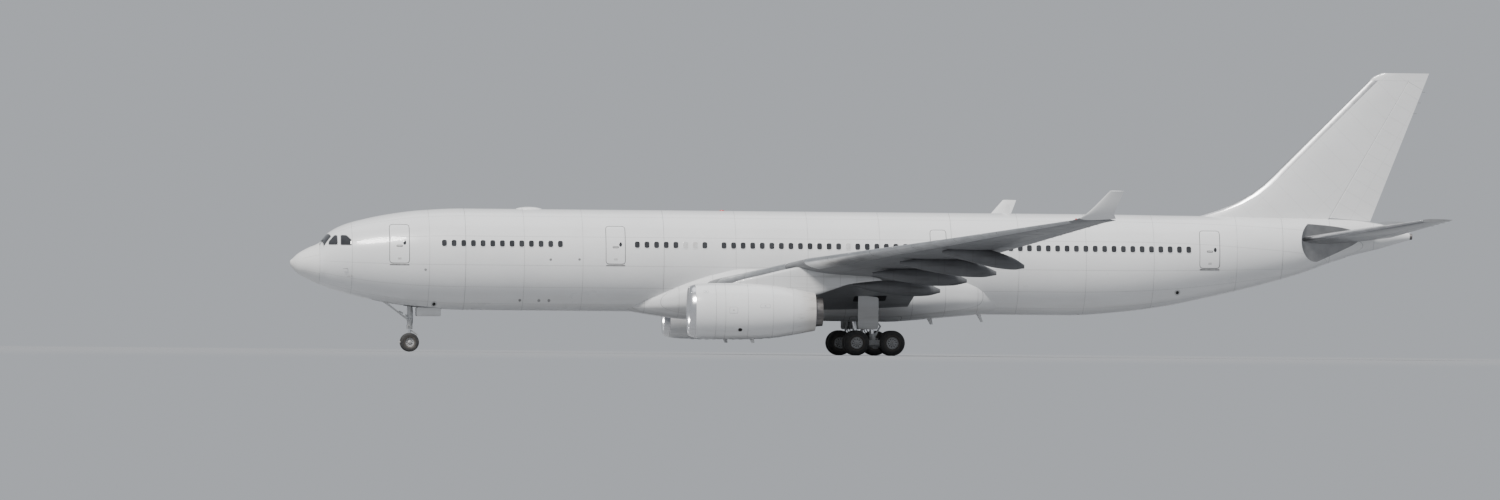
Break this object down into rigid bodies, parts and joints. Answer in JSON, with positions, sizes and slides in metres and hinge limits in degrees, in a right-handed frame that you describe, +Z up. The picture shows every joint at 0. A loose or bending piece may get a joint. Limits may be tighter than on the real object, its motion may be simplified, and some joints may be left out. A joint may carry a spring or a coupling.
{
  "type": "half-scale wide body airliner",
  "caption": "Half-scale twin-engine wide body airliner parked on its landing gear, with turning wheels, nose steering, fans and hinged control surfaces.",
  "frame": {"origin": "on the ground under the middle of the overall box", "axes": "+X towards the tail, +Y to starboard, +Z up; the nose points towards -X"},
  "size_m": [31.8446, 30.1526, 7.995],
  "materials": {
    "white_paint": "gloss white paint",
    "radome_paint": "satin white paint on a composite nose cone",
    "wing_grey": "satin grey paint",
    "gear_grey": "satin light grey paint",
    "nozzle_metal": "heat-tinted nozzle metal",
    "fan_metal": "dark satin metal",
    "tyre": "matt black rubber"
  },
  "bodies": {
    "airframe": {"aft_cowl_left": "white_paint", "aft_cowl_right": "white_paint", "aft_fuselage": "white_paint", "belly_fairing": "white_paint", "bogie_beam_left": "gear_grey", "bogie_beam_right": "gear_grey", "centre_fuselage": "white_paint", "cockpit_section": "white_paint", "engine_core_left": "nozzle_metal", "engine_core_right": "nozzle_metal", "fan_cowl_left": "white_paint", "fan_cowl_right": "white_paint", "fin": "white_paint", "flap_inner_left": "wing_grey", "flap_inner_right": "wing_grey", "flap_outer_left": "wing_grey", "flap_outer_right": "wing_grey", "forward_fuselage": "white_paint", "inlet_cowl_left": "white_paint", "inlet_cowl_right": "white_paint", "main_leg_door_left": "white_paint", "main_leg_door_right": "white_paint", "main_leg_left": "gear_grey", "main_leg_right": "gear_grey", "nose_gear_door_left": "white_paint", "nose_gear_door_right": "white_paint", "nose_leg": "gear_grey", "pylon_left": "white_paint", "pylon_right": "white_paint", "radome": "radome_paint", "slat_inner_left": "wing_grey", "slat_inner_right": "wing_grey", "slat_outer_left": "wing_grey", "slat_outer_right": "wing_grey", "tail_cone": "white_paint", "wing_left": "wing_grey", "wing_right": "wing_grey", "winglet_left": "white_paint", "winglet_right": "white_paint"},
    "rudder": {"rudder": "white_paint"},
    "tailplane": {"tailplane_left": "white_paint", "tailplane_right": "white_paint"},
    "elevator_left": {"elevator_left": "white_paint"},
    "elevator_right": {"elevator_right": "white_paint"},
    "aileron_inner_left": {"aileron_inner_left": "wing_grey"},
    "aileron_outer_left": {"aileron_outer_left": "wing_grey"},
    "aileron_inner_right": {"aileron_inner_right": "wing_grey"},
    "aileron_outer_right": {"aileron_outer_right": "wing_grey"},
    "fan_left": {"fan_left": "fan_metal"},
    "fan_right": {"fan_right": "fan_metal"},
    "nose_steering": {"nose_steered_leg": "gear_grey"},
    "nose_wheels": {"nose_wheels": "tyre"},
    "main_wheels_front_left": {"main_wheels_front_left": "tyre"},
    "main_wheels_rear_left": {"main_wheels_rear_left": "tyre"},
    "main_wheels_front_right": {"main_wheels_front_right": "tyre"},
    "main_wheels_rear_right": {"main_wheels_rear_right": "tyre"}
  },
  "joints": [
    {"name": "rudder_turn", "type": "hinge", "parent": "airframe", "child": "rudder", "pos_m": [13.09775, 0, 3.95], "axis": [0.4942, 0, 0.8694], "range_deg": [-30, 30]},
    {"name": "tailplane_trim", "type": "hinge", "parent": "airframe", "child": "tailplane", "pos_m": [13.57775, 0, 3.385], "axis": [0, 1, 0], "range_deg": [-14, 2]},
    {"name": "elevator_turn_left", "type": "hinge", "parent": "tailplane", "child": "elevator_left", "pos_m": [14.13359, -0.8, 3.43388], "axis": [-0.3509, 0.931, -0.1006], "range_deg": [-30, 15]},
    {"name": "elevator_turn_right", "type": "hinge", "parent": "tailplane", "child": "elevator_right", "pos_m": [14.13359, 0.8, 3.43388], "axis": [0.3509, 0.931, 0.1006], "range_deg": [-30, 15]},
    {"name": "aileron_turn_inner_left", "type": "hinge", "parent": "airframe", "child": "aileron_inner_left", "pos_m": [3.13971, -10.25, 3.10195], "axis": [-0.4276, 0.8955, -0.1235], "range_deg": [-25, 25]},
    {"name": "aileron_turn_outer_left", "type": "hinge", "parent": "airframe", "child": "aileron_outer_left", "pos_m": [4.06118, -12.18, 3.36801], "axis": [-0.4276, 0.8956, -0.1225], "range_deg": [-25, 25]},
    {"name": "aileron_turn_inner_right", "type": "hinge", "parent": "airframe", "child": "aileron_inner_right", "pos_m": [3.13971, 10.25, 3.10195], "axis": [0.4276, 0.8955, 0.1235], "range_deg": [-25, 25]},
    {"name": "aileron_turn_outer_right", "type": "hinge", "parent": "airframe", "child": "aileron_outer_right", "pos_m": [4.06118, 12.18, 3.36801], "axis": [0.4276, 0.8956, 0.1225], "range_deg": [-25, 25]},
    {"name": "fan_spin_left", "type": "hinge", "parent": "airframe", "child": "fan_left", "pos_m": [-4.31725, -4.685, 1.19], "axis": [1, 0, 0], "continuous": true},
    {"name": "fan_spin_right", "type": "hinge", "parent": "airframe", "child": "fan_right", "pos_m": [-4.31725, 4.685, 1.19], "axis": [1, 0, 0], "continuous": true},
    {"name": "nose_steer", "type": "hinge", "parent": "airframe", "child": "nose_steering", "pos_m": [-12.58725, 0, 0.625], "axis": [0, 0, 1], "range_deg": [-72, 72]},
    {"name": "nose_wheels_roll", "type": "hinge", "parent": "nose_steering", "child": "nose_wheels", "pos_m": [-12.58725, 0, 0.26], "axis": [0, 1, 0], "continuous": true},
    {"name": "main_wheels_roll_front_left", "type": "hinge", "parent": "airframe", "child": "main_wheels_front_left", "pos_m": [-0.39725, -2.67, 0.35], "axis": [0, 1, 0], "continuous": true},
    {"name": "main_wheels_roll_rear_left", "type": "hinge", "parent": "airframe", "child": "main_wheels_rear_left", "pos_m": [0.59275, -2.67, 0.35], "axis": [0, 1, 0], "continuous": true},
    {"name": "main_wheels_roll_front_right", "type": "hinge", "parent": "airframe", "child": "main_wheels_front_right", "pos_m": [-0.39725, 2.67, 0.35], "axis": [0, 1, 0], "continuous": true},
    {"name": "main_wheels_roll_rear_right", "type": "hinge", "parent": "airframe", "child": "main_wheels_rear_right", "pos_m": [0.59275, 2.67, 0.35], "axis": [0, 1, 0], "continuous": true}
  ]
}
